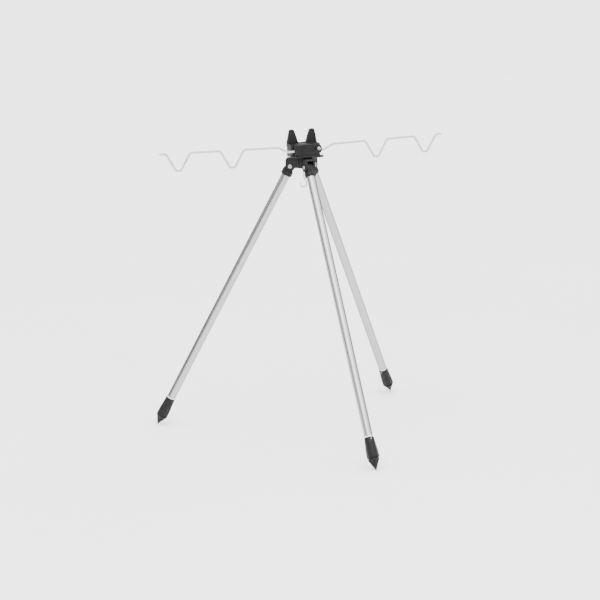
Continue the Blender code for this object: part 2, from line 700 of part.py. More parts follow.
def make_leg(name, azimuth, axis):
    """One leg. Its frame is at its pivot, with -Z down the leg and Y along the pivot."""
    frame = bpy.data.objects.new(f"leg_frame_{name}", None)
    bpy.context.scene.collection.objects.link(frame)
    frame.parent = axis
    turn = Matrix.Rotation(math.radians(azimuth), 4, "Z")
    pivot = Matrix.Translation((PIVOT_RADIUS, 0.0, PIVOT_Z))
    frame.matrix_local = turn @ pivot @ Matrix.Rotation(-LEG_SPREAD, 4, "Y")
    make_socket(name, frame)
    rivet = finish_mesh(leg_rivet(), f"leg_rivet_{name}", STEEL, 40)
    place(f"leg_rivet_{name}", rivet, frame, along_y(0.0, 0.0, 0.0))
    outer = pipe(OUTER_TUBE_R, OUTER_BORE_R, TUBE_START, TUBE_END)
    parts = {
        "leg_tube_outer": (outer, ALUMINIUM),
        "leg_end_bush": (end_bush(), BUSH_NYLON),
        "leg_expander": (expander(), BUSH_NYLON),
        "leg_cone_screw": (cone_screw(), STEEL),
    }
    for kind, (bm, surface) in parts.items():
        place(f"{kind}_{name}", finish_mesh(bm, f"{kind}_{name}", surface, 40), frame)
    make_inner_tube(name, frame)
    make_foot(name, frame)
    pin = rod(FOOT_PIN_R, -FOOT_PIN_HALF, FOOT_PIN_HALF, 12, 0.0002)
    at = along_x(0.0, 0.0, -(FOOT_TOP + FOOT_PIN_DROP))
    place(f"foot_pin_{name}", finish_mesh(pin, f"foot_pin_{name}", STEEL, 40), frame, at)


clear_scene()
HELPER = material("helper", (0.8, 0.2, 0.2), 0.5)
BLACK_PLASTIC = material("black_plastic", (0.018, 0.018, 0.02), 0.42)
ALUMINIUM = material("satin_aluminium", (0.72, 0.74, 0.76), 0.32, 1.0)
STEEL = material("bright_steel", (0.60, 0.60, 0.61), 0.25, 1.0)
PIN_STEEL = material("blackened_steel", (0.03, 0.03, 0.032), 0.35, 0.6)
WIRE = material("coated_wire", (0.72, 0.73, 0.74), 0.35)
BUSH_NYLON = material("pale_nylon", (0.75, 0.75, 0.72), 0.5)

hub_axis = bpy.data.objects.new("hub_axis", None)
bpy.context.scene.collection.objects.link(hub_axis)
hub_axis.location = (0.0, HUB_Y, 0.0)
make_hub(hub_axis)
make_yoke(hub_axis)
make_cover(hub_axis)
make_head_hardware(hub_axis)
make_arms(hub_axis)
make_hook(hub_axis)
for leg_name, leg_azimuth in zip(LEG_NAMES, LEG_AZIMUTHS):
    make_leg(leg_name, leg_azimuth, hub_axis)
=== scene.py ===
"""How the folding tripod rod rest looks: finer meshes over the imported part, materials, a floor and light."""

import json
import math

import bmesh
import bpy
from mathutils import Matrix, Vector


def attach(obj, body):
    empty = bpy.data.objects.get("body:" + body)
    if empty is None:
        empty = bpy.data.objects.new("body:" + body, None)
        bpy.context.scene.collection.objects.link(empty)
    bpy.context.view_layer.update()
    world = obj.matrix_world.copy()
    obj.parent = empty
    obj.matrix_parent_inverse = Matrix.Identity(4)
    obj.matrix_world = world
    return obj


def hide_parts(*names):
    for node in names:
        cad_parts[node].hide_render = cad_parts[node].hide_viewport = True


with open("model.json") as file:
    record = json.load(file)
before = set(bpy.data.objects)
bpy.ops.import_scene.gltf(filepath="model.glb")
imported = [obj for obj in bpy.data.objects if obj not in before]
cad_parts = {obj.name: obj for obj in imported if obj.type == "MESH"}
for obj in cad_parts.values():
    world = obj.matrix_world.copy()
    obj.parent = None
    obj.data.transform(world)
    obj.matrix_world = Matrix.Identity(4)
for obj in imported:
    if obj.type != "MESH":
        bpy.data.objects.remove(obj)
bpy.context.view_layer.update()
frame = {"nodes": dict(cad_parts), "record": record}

GAP = 0.0003  # clearance between two touching pieces
HUB_Y = 0.07265  # the hub's upright axis, measured from the middle of the whole rest

# Legs
LEG_NAMES = ("left", "front", "right")
LEG_AZIMUTHS = (150.0, -90.0, 30.0)
LEG_SPREAD = math.radians(28.14)  # a leg's angle from upright when it rests on its stop
LEG_LENGTH = 0.5873  # from a leg's pivot to the point of its foot
PIVOT_RADIUS = 0.0244  # from the hub's axis to a leg's pivot
TIP_ROUND = 0.0016
PIVOT_Z = (LEG_LENGTH - TIP_ROUND) * math.cos(LEG_SPREAD) + TIP_ROUND

OUTER_TUBE_R = 0.0080
OUTER_BORE_R = 0.0071
INNER_TUBE_R = 0.0060
INNER_BORE_R = 0.0051
FOOT_LENGTH = 0.0607
BUSH_FLANGE = 0.0026
TUBE_START = 0.0118  # where the outer tube begins, measured down from the pivot
TUBE_END = LEG_LENGTH - FOOT_LENGTH - BUSH_FLANGE - 2 * GAP
INNER_START = 0.0450
FOOT_SOCKET = 0.0220  # depth of the foot's socket for the inner tube

# Clevises and leg sockets
EAR_R = 0.0090
EAR_OUTER = 0.0096
EAR_INNER = 0.0060
TONGUE_HALF = 0.0057
TONGUE_R = 0.0081
HEEL_R = 0.0104
SOCKET_R = 0.01025
SOCKET_TOP = 0.0095
SOCKET_END = 0.0195
RIVET_R = 0.0020
RIVET_HEAD_R = 0.0040

# Hub
CORE_R = 0.0160
HUB_BOTTOM = PIVOT_Z - 0.0035
HUB_TOP = PIVOT_Z + 0.0187
EAR_TOP = PIVOT_Z + 0.0155  # the clevises are lower than the core, to clear the cover
SLOT_TOP = PIVOT_Z + 0.0120
HUB_BORE_R = 0.0073
CROSS_PIN_R = 0.0015
CROSS_PIN_Z = HUB_BOTTOM + 0.0065
CROSS_PIN_HALF = 0.0154

# Yoke
YOKE_BOTTOM = HUB_TOP + GAP
SPIGOT_R = 0.0070
SPIGOT_BOTTOM = HUB_BOTTOM + 0.0008
HOOK_SLOT_HALF = 0.0015
YOKE_SHOULDER = YOKE_BOTTOM + 0.0235
YOKE_X = 0.0018  # middle of the block and of the horns, which stand a little to the right
YOKE_HALF_WIDTH = 0.0305
YOKE_FRONT = -0.0097
YOKE_BACK = 0.0140
HORN_FRONT = 0.0060
SADDLE_Z = YOKE_BOTTOM + 0.0252
SADDLE_HALF_WIDTH = 0.0072
HORN_TOP = YOKE_BOTTOM + 0.0500

# Wire arms
WIRE_R = 0.0020
ARM_Y = -0.0120
EYE_R = 0.0039
ARM_PIVOT_Z = YOKE_BOTTOM + 0.0146
ARM_PIVOTS = {"left": -0.0130, "right": 0.0245}
ROOT_DROP = 0.0095  # how far the root of an arm lies under its outer run
JOG_START = 0.0370
JOG_END = 0.0570
ARM_RISE = 0.0173  # slope of an arm, upwards and outwards
ARM_END = 0.2927
NOTCH_CENTRES = (0.1495, 0.2560)
NOTCH_HALF_TOP = 0.0235
NOTCH_HALF_BOTTOM = 0.0048
NOTCH_DEPTH = 0.0319

# Ledge and cover in front of the yoke
LEDGE_TOP = ARM_PIVOT_Z - EYE_R - WIRE_R - GAP
LEDGE_THICK = 0.0026
COVER_BACK = ARM_Y - WIRE_R - 0.0004
COVER_FRONT = COVER_BACK - 0.0034
COVER_LEFT = -0.0243
COVER_TOP = YOKE_BOTTOM + 0.0232
COVER_BOTTOM = YOKE_BOTTOM + 0.0003
BOSS_X = 0.0228
BOSS_Z = ARM_PIVOT_Z - 0.0008
BOSS_R = 0.0090
BOSS_RAISED = 0.0008
SPACER = (-0.0045, 0.0160)
BARREL_Y = -0.0188
BARREL_Z = YOKE_BOTTOM - 0.0004
BARREL_R = 0.0024
BARREL_ENDS = (-0.0185, 0.0245)
LUGS = {"left": (-0.0225, -0.0188), "right": (0.0248, 0.0285)}
PIN_R = 0.0012
PIN_LENGTH = 0.0530
KNOB_R = 0.0024
KNOB_LENGTH = 0.0046
ARM_PIN_R = 0.0016
ARM_PIN_END = 0.0040
ARM_RIVET_HEAD_R = 0.0034

# Hook
HOOK_WIRE_R = 0.0009
HOOK_EYE_R = 0.0028
HOOK_SHANK = 0.0250
HOOK_DROP = 0.0446
HOOK_R = 0.0066

# Feet and leg hardware
FOOT_TOP = LEG_LENGTH - FOOT_LENGTH
FOOT_PIN_DROP = 0.0032
BUSH_SLEEVE = 0.0200
# Floor and light
FLOOR_RADIUS = 60.0
BACKDROP_STRENGTH = 4.0
HORIZON_STRENGTH = 0.25
ZENITH_STRENGTH = 4.6
DIM_BELOW = 0.2  # sine of the height above the horizon up to which the sky is dim
BRIGHT_ABOVE = 0.6  # and from which it has its full strength
KEY_POWER = 40.0

# Surfaces
PLASTIC_SPECULAR = 0.16
# a dark edge tint for the tubes: painted shade that darkens their rims
ALUMINIUM_PAINTED_EDGE_SHADE = 0.12
STEEL_EDGE = 0.2

# Camera
CAMERA_AZIMUTH = math.radians(-23.789)
CAMERA_ELEVATION = math.radians(12.863)
CAMERA_ROLL = math.radians(-0.997)
CAMERA_TARGET = (-0.01188, HUB_Y, 0.25659)
CAMERA_DISTANCE = 3.1087
CAMERA_LENS = 96.17


# Shapes


def arc(centre, radius, start, end, steps):
    """Points on an arc, with its angles in degrees and both ends included."""
    turns = (math.radians(start + (end - start) * i / steps) for i in range(steps + 1))
    return [(centre[0] + radius * math.cos(a), centre[1] + radius * math.sin(a)) for a in turns]


def filleted(corners, radii, steps=12):
    """A path through corners, each inner one rounded by its radius."""
    path = [corners[0]]
    for before, corner, after, radius in zip(corners, corners[1:], corners[2:], radii):
        here = Vector(corner)
        back = (Vector(before) - here).normalized()
        ahead = (Vector(after) - here).normalized()
        half = back.angle(ahead) / 2
        start = here + back * radius / math.tan(half)
        end = here + ahead * radius / math.tan(half)
        centre = here + (back + ahead).normalized() * radius / math.sin(half)
        first, last = start - centre, end - centre
        at = math.degrees(math.atan2(first.y, first.x))
        turn = -math.degrees(first.angle_signed(last))
        path += arc(centre, radius, at, at + turn, steps)
    return [*path, corners[-1]]


def closed_path(corners, radii, steps=8):
    """The same for a closed outline, with a radius for every corner."""
    loop = [corners[-1], *corners, corners[0]]
    return filleted(loop, radii, steps)[1:-1]


def mesh_of(bm, name, smooth=35):
    bmesh.ops.remove_doubles(bm, verts=bm.verts, dist=1e-7)
    bmesh.ops.recalc_face_normals(bm, faces=bm.faces)
    mesh = bpy.data.meshes.new(name)
    bm.to_mesh(mesh)
    bm.free()
    mesh.shade_smooth()
    mesh.set_sharp_from_angle(angle=math.radians(smooth))
    return mesh


def turned(profile, segments=96):
    """A solid turned about Z from a closed outline of (radius, height) points."""
    bm = bmesh.new()
    rings = []
    for radius, height in profile:
        if radius < 1e-7:
            rings.append([bm.verts.new((0.0, 0.0, height))])
            continue
        turns = (2 * math.pi * i / segments for i in range(segments))
        rings.append(
            [bm.verts.new((radius * math.cos(a), radius * math.sin(a), height)) for a in turns]
        )
    for first, second in zip(rings, [*rings[1:], rings[0]]):
        for i in range(segments):
            j = (i + 1) % segments
            corners = [first[i % len(first)], first[j % len(first)]]
            corners += [second[j % len(second)], second[i % len(second)]]
            corners = list(dict.fromkeys(corners))
            if len(corners) > 2:
                bm.faces.new(corners)
    return bm


def prism(outline, low, high, normal="Y"):
    """An outline pushed through from low to high: (x, z) points for Y, (y, z) for X, (x, y) for Z."""
    place = {
        "Y": lambda a, b: (a, low, b),
        "X": lambda a, b: (low, a, b),
        "Z": lambda a, b: (a, b, low),
    }[normal]
    push = Vector([1.0 if normal == letter else 0.0 for letter in "XYZ"]) * (high - low)
    bm = bmesh.new()
    face = bm.faces.new([bm.verts.new(place(a, b)) for a, b in outline])
    made = bmesh.ops.extrude_face_region(bm, geom=[face])
    moved = [item for item in made["geom"] if isinstance(item, bmesh.types.BMVert)]
    bmesh.ops.translate(bm, verts=moved, vec=push)
    bmesh.ops.recalc_face_normals(bm, faces=bm.faces)
    return bm


def rounded_prism(outline, low, high, normal, size, segments=4, skip=None):
    """A prism whose two end faces have rounded rims. skip(point) leaves an edge sharp."""
    bm = prism(outline, low, high, normal)
    axis = "XYZ".index(normal)
    rims = []
    for edge in bm.edges:
        a, b = edge.verts
        level = abs(a.co[axis] - b.co[axis]) < 1e-7
        if level and not (skip and skip((a.co + b.co) / 2)):
            rims.append(edge)
    bmesh.ops.bevel(
        bm,
        geom=rims,
        offset=size,
        segments=segments,
        profile=0.5,
        affect="EDGES",
        clamp_overlap=True,
    )
    return bm


def rod(radius, low, high, chamfer=0.0, segments=64):
    """A cylinder on Z with rounded ends."""
    if not chamfer:
        return turned([(0.0, high), (radius, high), (radius, low), (0.0, low)], segments)
    top = arc((radius - chamfer, high - chamfer), chamfer, 90, 0, 4)
    bottom = arc((radius - chamfer, low + chamfer), chamfer, 0, -90, 4)
    return turned([(0.0, high), *top, *bottom, (0.0, low)], segments)


def bent_wire(path, radius, sides, dome=True):
    """A round wire along a path of (x, z) points, with domed ends."""
    bm = bmesh.new()
    points = [Vector((x, 0.0, z)) for x, z in path]
    rows = [(point, 1.0) for point in points]
    if dome:
        out = (points[0] - points[1]).normalized()
        cap = [(points[0] + out * radius * math.sin(t), math.cos(t)) for t in (1.3, 0.95, 0.5)]
        rows = cap + rows
        out = (points[-1] - points[-2]).normalized()
        rows += [(points[-1] + out * radius * math.sin(t), math.cos(t)) for t in (0.5, 0.95, 1.3)]
    rings = []
    for i, (point, scale) in enumerate(rows):
        before = rows[max(i - 1, 0)][0]
        after = rows[min(i + 1, len(rows) - 1)][0]
        ahead = (after - before).normalized()
        across = Vector((-ahead.z, 0.0, ahead.x))
        ring = []
        for k in range(sides):
            turn = 2 * math.pi * k / sides
            offset = across * math.cos(turn) + Vector((0.0, math.sin(turn), 0.0))
            ring.append(bm.verts.new(point + offset * radius * scale))
        rings.append(ring)
    for first, second in zip(rings, rings[1:]):
        for k in range(sides):
            n = (k + 1) % sides
            bm.faces.new((first[k], first[n], second[n], second[k]))
    bm.faces.new(rings[0])
    bm.faces.new(reversed(rings[-1]))
    return bm


def along_y(x, y, z):
    """Turns a solid made on Z so that it points along -Y from (x, y, z)."""
    return Matrix.Translation((x, y, z)) @ Matrix.Rotation(math.radians(90), 4, "X")


def along_x(x, y, z):
    """Turns a solid made on Z so that it points along +X from (x, y, z)."""
    return Matrix.Translation((x, y, z)) @ Matrix.Rotation(math.radians(90), 4, "Y")


def carved(name, base, joined=(), cut=(), edge=0.0, smooth=38):
    """A base solid joined with some solids and cut by others, with every sharp edge softened.

    joined and cut hold (solid, matrix) pairs.
    """
    scene = bpy.context.scene.collection
    target = bpy.data.objects.new(name, mesh_of(base, name))
    scene.objects.link(target)
    tools = []
    for operation, pairs in (("UNION", joined), ("DIFFERENCE", cut)):
        for solid, matrix in pairs:
            tool = bpy.data.objects.new("tool", mesh_of(solid, "tool"))
            scene.objects.link(tool)
            tool.matrix_world = matrix
            tools.append(tool)
            modifier = target.modifiers.new("shape", "BOOLEAN")
            modifier.operation = operation
            modifier.solver = "EXACT"
            modifier.object = tool
    if edge:
        soften = target.modifiers.new("edges", "BEVEL")
        soften.width = edge
        soften.segments = 3
        soften.limit_method = "ANGLE"
        soften.angle_limit = math.radians(34)
        soften.miter_outer = "MITER_ARC"
        soften.use_clamp_overlap = True
    bpy.context.view_layer.update()
    graph = bpy.context.evaluated_depsgraph_get()
    mesh = bpy.data.meshes.new_from_object(target.evaluated_get(graph))
    for obj in [target, *tools]:
        bpy.data.objects.remove(obj, do_unlink=True)
    mesh.shade_smooth()
    mesh.set_sharp_from_angle(angle=math.radians(smooth))
    return mesh


# Materials


class Graph:
    """A short way to write a material's nodes."""

    def __init__(self, name):
        self.material = bpy.data.materials.new(name)
        self.material.use_nodes = True
        self.tree = self.material.node_tree
        self.shader = self.tree.nodes["Principled BSDF"]
        self.place = self.tree.nodes.new("ShaderNodeTexCoord").outputs["Object"]

    def node(self, kind, values=None, **settings):
        made = self.tree.nodes.new("ShaderNode" + kind)
        for key, value in settings.items():
            setattr(made, key, value)
        for key, value in (values or {}).items():
            if isinstance(value, bpy.types.NodeSocket):
                self.tree.links.new(value, made.inputs[key])
            else:
                made.inputs[key].default_value = value
        return made

    def noise(self, scale, stretch=(1.0, 1.0, 1.0), detail=3.0, roughness=0.55, offset=0.0):
        where = self.node(
            "Mapping", {"Vector": self.place, "Scale": stretch, "Location": (offset, offset, offset)}
        )
        values = {"Vector": where.outputs["Vector"], "Scale": scale, "Detail": detail}
        return self.node("TexNoise", {**values, "Roughness": roughness}).outputs["Fac"]

    def band(self, value, low, high, to_low=0.0, to_high=1.0):
        """value, spread from the range low..high to to_low..to_high and held within it."""
        values = {"Value": value, "From Min": low, "From Max": high}
        made = self.node("MapRange", {**values, "To Min": to_low, "To Max": to_high}, clamp=True)
        return made.outputs["Result"]

    def maths(self, operation, a, b):
        return self.node("Math", {0: a, 1: b}, operation=operation).outputs[0]

    def mix(self, factor, a, b):
        """A colour between a and b."""
        made = self.node("Mix", data_type="RGBA")
        for key, value in ((0, factor), (6, a), (7, b)):
            if isinstance(value, bpy.types.NodeSocket):
                self.tree.links.new(value, made.inputs[key])
            else:
                made.inputs[key].default_value = value
        return made.outputs[2]

    def bump(self, height, distance, strength=1.0, over=None):
        values = {"Height": height, "Distance": distance, "Strength": strength}
        if over is not None:
            values["Normal"] = over
        return self.node("Bump", values).outputs["Normal"]

    def finish(self, **inputs):
        for key, value in inputs.items():
            socket = self.shader.inputs[key.replace("_", " ").title()]
            if isinstance(value, bpy.types.NodeSocket):
                self.tree.links.new(value, socket)
            else:
                socket.default_value = value
        return self.material


def grey(value, tint=(1.0, 1.0, 1.0)):
    return (value * tint[0], value * tint[1], value * tint[2], 1.0)


def scratches(graph, scale, stretch, width, offset):
    """Sparse fine lines: the thin band where a stretched noise crosses its middle, in some patches only."""
    lines = graph.noise(scale, stretch, 2.0, 0.4, offset)
    near = graph.maths("ABSOLUTE", graph.maths("SUBTRACT", lines, 0.5), 0.0)
    thin = graph.band(near, 0.0, width, 1.0, 0.0)
    patches = graph.band(graph.noise(60.0, offset=offset + 3.0), 0.55, 0.66)
    return graph.maths("MULTIPLY", thin, patches)


def moulded_plastic():
    """Black injection-moulded plastic: spark-eroded grain, handling shine, pale scuffs and dust."""
    g = Graph("black_plastic")
    grain = g.noise(1500.0, detail=4.0)
    flow = g.noise(70.0, (1.0, 1.0, 0.4), 5.0, 0.6, 7.0)
    wear = g.noise(160.0, detail=6.0, roughness=0.65, offset=2.0)
    scuffs = scratches(g, 130.0, (1.0, 1.0, 7.0), 0.006, 5.0)
    cross = scratches(g, 150.0, (8.0, 1.0, 1.0), 0.005, 9.0)
    marks = g.maths("MAXIMUM", scuffs, cross)
    dust = g.band(g.noise(900.0, detail=2.0, offset=4.0), 0.70, 0.76)
    colour = g.mix(g.band(flow, 0.35, 0.7), grey(0.006), grey(0.010, (1.0, 1.0, 1.03)))
    colour = g.mix(g.maths("MULTIPLY", marks, 0.35), colour, grey(0.06))
    colour = g.mix(g.maths("MULTIPLY", dust, 0.22), colour, grey(0.08, (1.0, 0.98, 0.94)))
    rough = g.band(wear, 0.32, 0.68, 0.34, 0.52)
    rough = g.maths("ADD", rough, g.maths("MULTIPLY", marks, 0.2))
    normal = g.bump(grain, 0.00006, 0.55)
    normal = g.bump(marks, -0.00005, 0.5, normal)
    g.shader.inputs["Specular IOR Level"].default_value = PLASTIC_SPECULAR
    return g.finish(base_color=colour, roughness=rough, metallic=0.0, normal=normal)


def drawn_aluminium():
    """Satin anodised tube: drawing lines along its length, faint bands and a few handling marks; its base
    colour and edge tint are held darker than the metal's own, as painted shade.
    """
    g = Graph("satin_aluminium")
    fine = g.noise(1400.0, (1.0, 1.0, 0.006), 4.0, 0.6)
    broad = g.noise(260.0, (1.0, 1.0, 0.02), 3.0, 0.5, 4.0)
    cloud = g.noise(22.0, (1.0, 1.0, 0.5), 4.0, 0.55, 6.0)
    rings = scratches(g, 60.0, (0.6, 0.6, 9.0), 0.004, 8.0)
    lines = scratches(g, 240.0, (1.0, 1.0, 0.03), 0.02, 11.0)
    marks = g.maths("MAXIMUM", rings, lines)
    # tones of 0.34 to 0.45, well under the aluminium's own: painted shade that darkens the whole tube
    colour = g.mix(g.band(fine, 0.3, 0.7), grey(0.36, (0.985, 0.995, 1.0)), grey(0.45))
    colour = g.mix(g.band(cloud, 0.35, 0.7, 0.0, 0.35), colour, grey(0.34, (0.98, 0.99, 1.0)))
    colour = g.mix(g.maths("MULTIPLY", marks, 0.3), colour, grey(0.22))
    rough = g.maths("ADD", g.band(broad, 0.3, 0.7, 0.22, 0.30), g.maths("MULTIPLY", marks, 0.12))
    normal = g.bump(fine, 0.00004, 0.35)
    normal = g.bump(marks, -0.00003, 0.4, normal)
    # the dark edge tint is painted shade on the tube's rims
    g.shader.inputs["Specular Tint"].default_value = grey(ALUMINIUM_PAINTED_EDGE_SHADE)
    return g.finish(base_color=colour, roughness=rough, metallic=1.0, normal=normal)


def bright_steel():
    """Plated steel for rivets, pins and the hook, dulled in places."""
    g = Graph("bright_steel")
    stain = g.noise(260.0, detail=5.0, roughness=0.6)
    turn = g.noise(2200.0, (1.0, 1.0, 0.15), 3.0, offset=3.0)
    colour = g.mix(g.band(stain, 0.45, 0.72), grey(0.40), grey(0.22, (1.0, 0.97, 0.93)))
    rough = g.band(stain, 0.35, 0.7, 0.18, 0.36)
    normal = g.bump(turn, 0.00002, 0.4)
    g.shader.inputs["Specular Tint"].default_value = grey(STEEL_EDGE)
    return g.finish(base_color=colour, roughness=rough, metallic=1.0, normal=normal)


def blackened_steel():
    """Blackened steel for the pull pin, rubbed bright at its high spots."""
    g = Graph("blackened_steel")
    rub = g.noise(420.0, detail=5.0, roughness=0.65)
    fine = g.noise(1800.0, detail=3.0, offset=3.0)
    colour = g.mix(g.band(rub, 0.62, 0.74), grey(0.022), grey(0.16))
    rough = g.band(fine, 0.3, 0.7, 0.30, 0.45)
    normal = g.bump(fine, 0.00003, 0.4)
    return g.finish(base_color=colour, roughness=rough, metallic=0.6, normal=normal)


def coated_wire():
    """Pale plastic coating over wire: slight ripple, a little dirt in the bends, fine scuffs."""
    g = Graph("coated_wire")
    ripple = g.noise(420.0, detail=3.0)
    dirt = g.noise(55.0, detail=6.0, roughness=0.65, offset=2.0)
    marks = scratches(g, 200.0, (0.3, 1.0, 1.0), 0.01, 6.0)
    colour = g.mix(g.band(dirt, 0.5, 0.75), grey(0.46, (0.99, 1.0, 1.01)), grey(0.34, (1.0, 0.99, 0.96)))
    colour = g.mix(g.maths("MULTIPLY", marks, 0.4), colour, grey(0.24))
    rough = g.band(ripple, 0.3, 0.7, 0.28, 0.42)
    normal = g.bump(ripple, 0.0001, 0.4)
    return g.finish(base_color=colour, roughness=rough, metallic=0.0, normal=normal)


def pale_nylon():
    """Natural nylon for the guide bushes and expanders."""
    g = Graph("pale_nylon")
    cloud = g.noise(120.0, detail=5.0)
    grain = g.noise(1600.0, detail=3.0, offset=2.0)
    colour = g.mix(g.band(cloud, 0.35, 0.7), grey(0.80, (1.0, 0.995, 0.97)), grey(0.70, (1.0, 0.98, 0.93)))
    rough = g.band(grain, 0.3, 0.7, 0.42, 0.55)
    normal = g.bump(grain, 0.00005, 0.4)
    return g.finish(base_color=colour, roughness=rough, metallic=0.0, normal=normal)


SURFACES = {
    "black_plastic": moulded_plastic(),
    "satin_aluminium": drawn_aluminium(),
    "bright_steel": bright_steel(),
    "blackened_steel": blackened_steel(),
    "coated_wire": coated_wire(),
    "pale_nylon": pale_nylon(),
}
SLOT_OF = {row["node"]: row["material_slot"] for row in frame["record"]["subparts"]}
BODY_OF = {}
for body_name, node_names in frame["record"]["behaviour"]["bodies"].items():
    for node_name in node_names:
        BODY_OF[node_name] = body_name

HUB_AXIS = Matrix.Translation((0.0, HUB_Y, 0.0))


def show(node, mesh, matrix=None):
    """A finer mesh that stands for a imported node, rides on its body and has its material."""
    surface = SLOT_OF[node]
    mesh.materials.clear()
    mesh.materials.append(SURFACES[surface])
    obj = bpy.data.objects.new(f"{node}_look", mesh)
    bpy.context.scene.collection.objects.link(obj)
    obj.matrix_world = matrix if matrix is not None else HUB_AXIS
    bpy.context.view_layer.update()
    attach(obj, BODY_OF[node])
    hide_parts(node)
    return obj


# Head


def clevis_outline():
    """One clevis with the bar behind it, as (distance from the hub's axis, height)."""
    outer = PIVOT_RADIUS + EAR_R
    rounding = 0.0040
    return [
        (0.0, EAR_TOP),
        (0.0, HUB_BOTTOM),
        (PIVOT_RADIUS - EAR_R, HUB_BOTTOM),
        *arc((PIVOT_RADIUS, PIVOT_Z), EAR_R, 222, 360, 40),
        *arc((outer - rounding, EAR_TOP - rounding), rounding, 0, 90, 12),
    ]


def show_hub():
    rounding = 0.0012
    core = [(0.0, HUB_TOP), *arc((CORE_R - 0.0006, HUB_TOP - 0.0006), 0.0006, 90, 0, 4)]
    core += arc((CORE_R - rounding, HUB_BOTTOM + rounding), rounding, 0, -90, 5)
    core += [(0.0, HUB_BOTTOM)]
    joined, cut = [], []
    slot = [(CORE_R, SLOT_TOP), (CORE_R, HUB_BOTTOM - 0.02)]
    slot += [(0.05, HUB_BOTTOM - 0.02), (0.05, SLOT_TOP)]
    for azimuth in LEG_AZIMUTHS:
        turn = Matrix.Rotation(math.radians(azimuth), 4, "Z")
        joined.append((prism(clevis_outline(), -EAR_OUTER, EAR_OUTER), turn))
        cut.append((prism(slot, -EAR_INNER, EAR_INNER), turn))
        across = turn @ along_y(PIVOT_RADIUS, 0.0, PIVOT_Z)
        for side in (1, -1):
            low, high = sorted((side * (EAR_OUTER - 0.0009), side * (EAR_OUTER + 0.0009)))
            joined.append((rod(RIVET_HEAD_R + 0.0016, low + 0.0005, high - 0.0005, 0.0003), across))
        cut.append((rod(RIVET_R + GAP, -0.015, 0.015, segments=32), across))
        rib = turn @ Matrix.Rotation(math.radians(60), 4, "Z")
        web = [(0.010, HUB_TOP - 0.0004), (0.010, HUB_BOTTOM + 0.004)]
        web += [(CORE_R + 0.0006, HUB_BOTTOM + 0.004), (CORE_R + 0.0030, HUB_TOP - 0.0004)]
        joined.append((prism(web, -0.0012, 0.0012), rib))
    cut.append((rod(HUB_BORE_R, HUB_BOTTOM - 0.005, HUB_TOP + 0.005), Matrix()))
    cut.append((rod(CROSS_PIN_R + GAP, -0.03, 0.03, segments=32), along_y(0, 0, CROSS_PIN_Z)))
    show("leg_hub", carved("leg_hub", turned(core), joined, cut, 0.00045))


def horn_outline():
    """The two horns and the saddle between them, as (x, z)."""
    right = [
        (YOKE_HALF_WIDTH, YOKE_BOTTOM + 0.0180),
        (YOKE_HALF_WIDTH - 0.0001, SADDLE_Z + 0.0010),
        (0.0281, SADDLE_Z + 0.0122),
        *arc((0.0229, HORN_TOP - 0.0030), 0.0030, 10, 90, 16),
        *arc((0.0192, HORN_TOP - 0.0032), 0.0032, 93, 165, 16),
        (SADDLE_HALF_WIDTH + 0.0052, SADDLE_Z + 0.0127),
        (SADDLE_HALF_WIDTH + 0.0022, SADDLE_Z + 0.0027),
        (SADDLE_HALF_WIDTH, SADDLE_Z),
    ]
    return [(YOKE_X + x, z) for x, z in right] + [(YOKE_X - x, z) for x, z in reversed(right)]


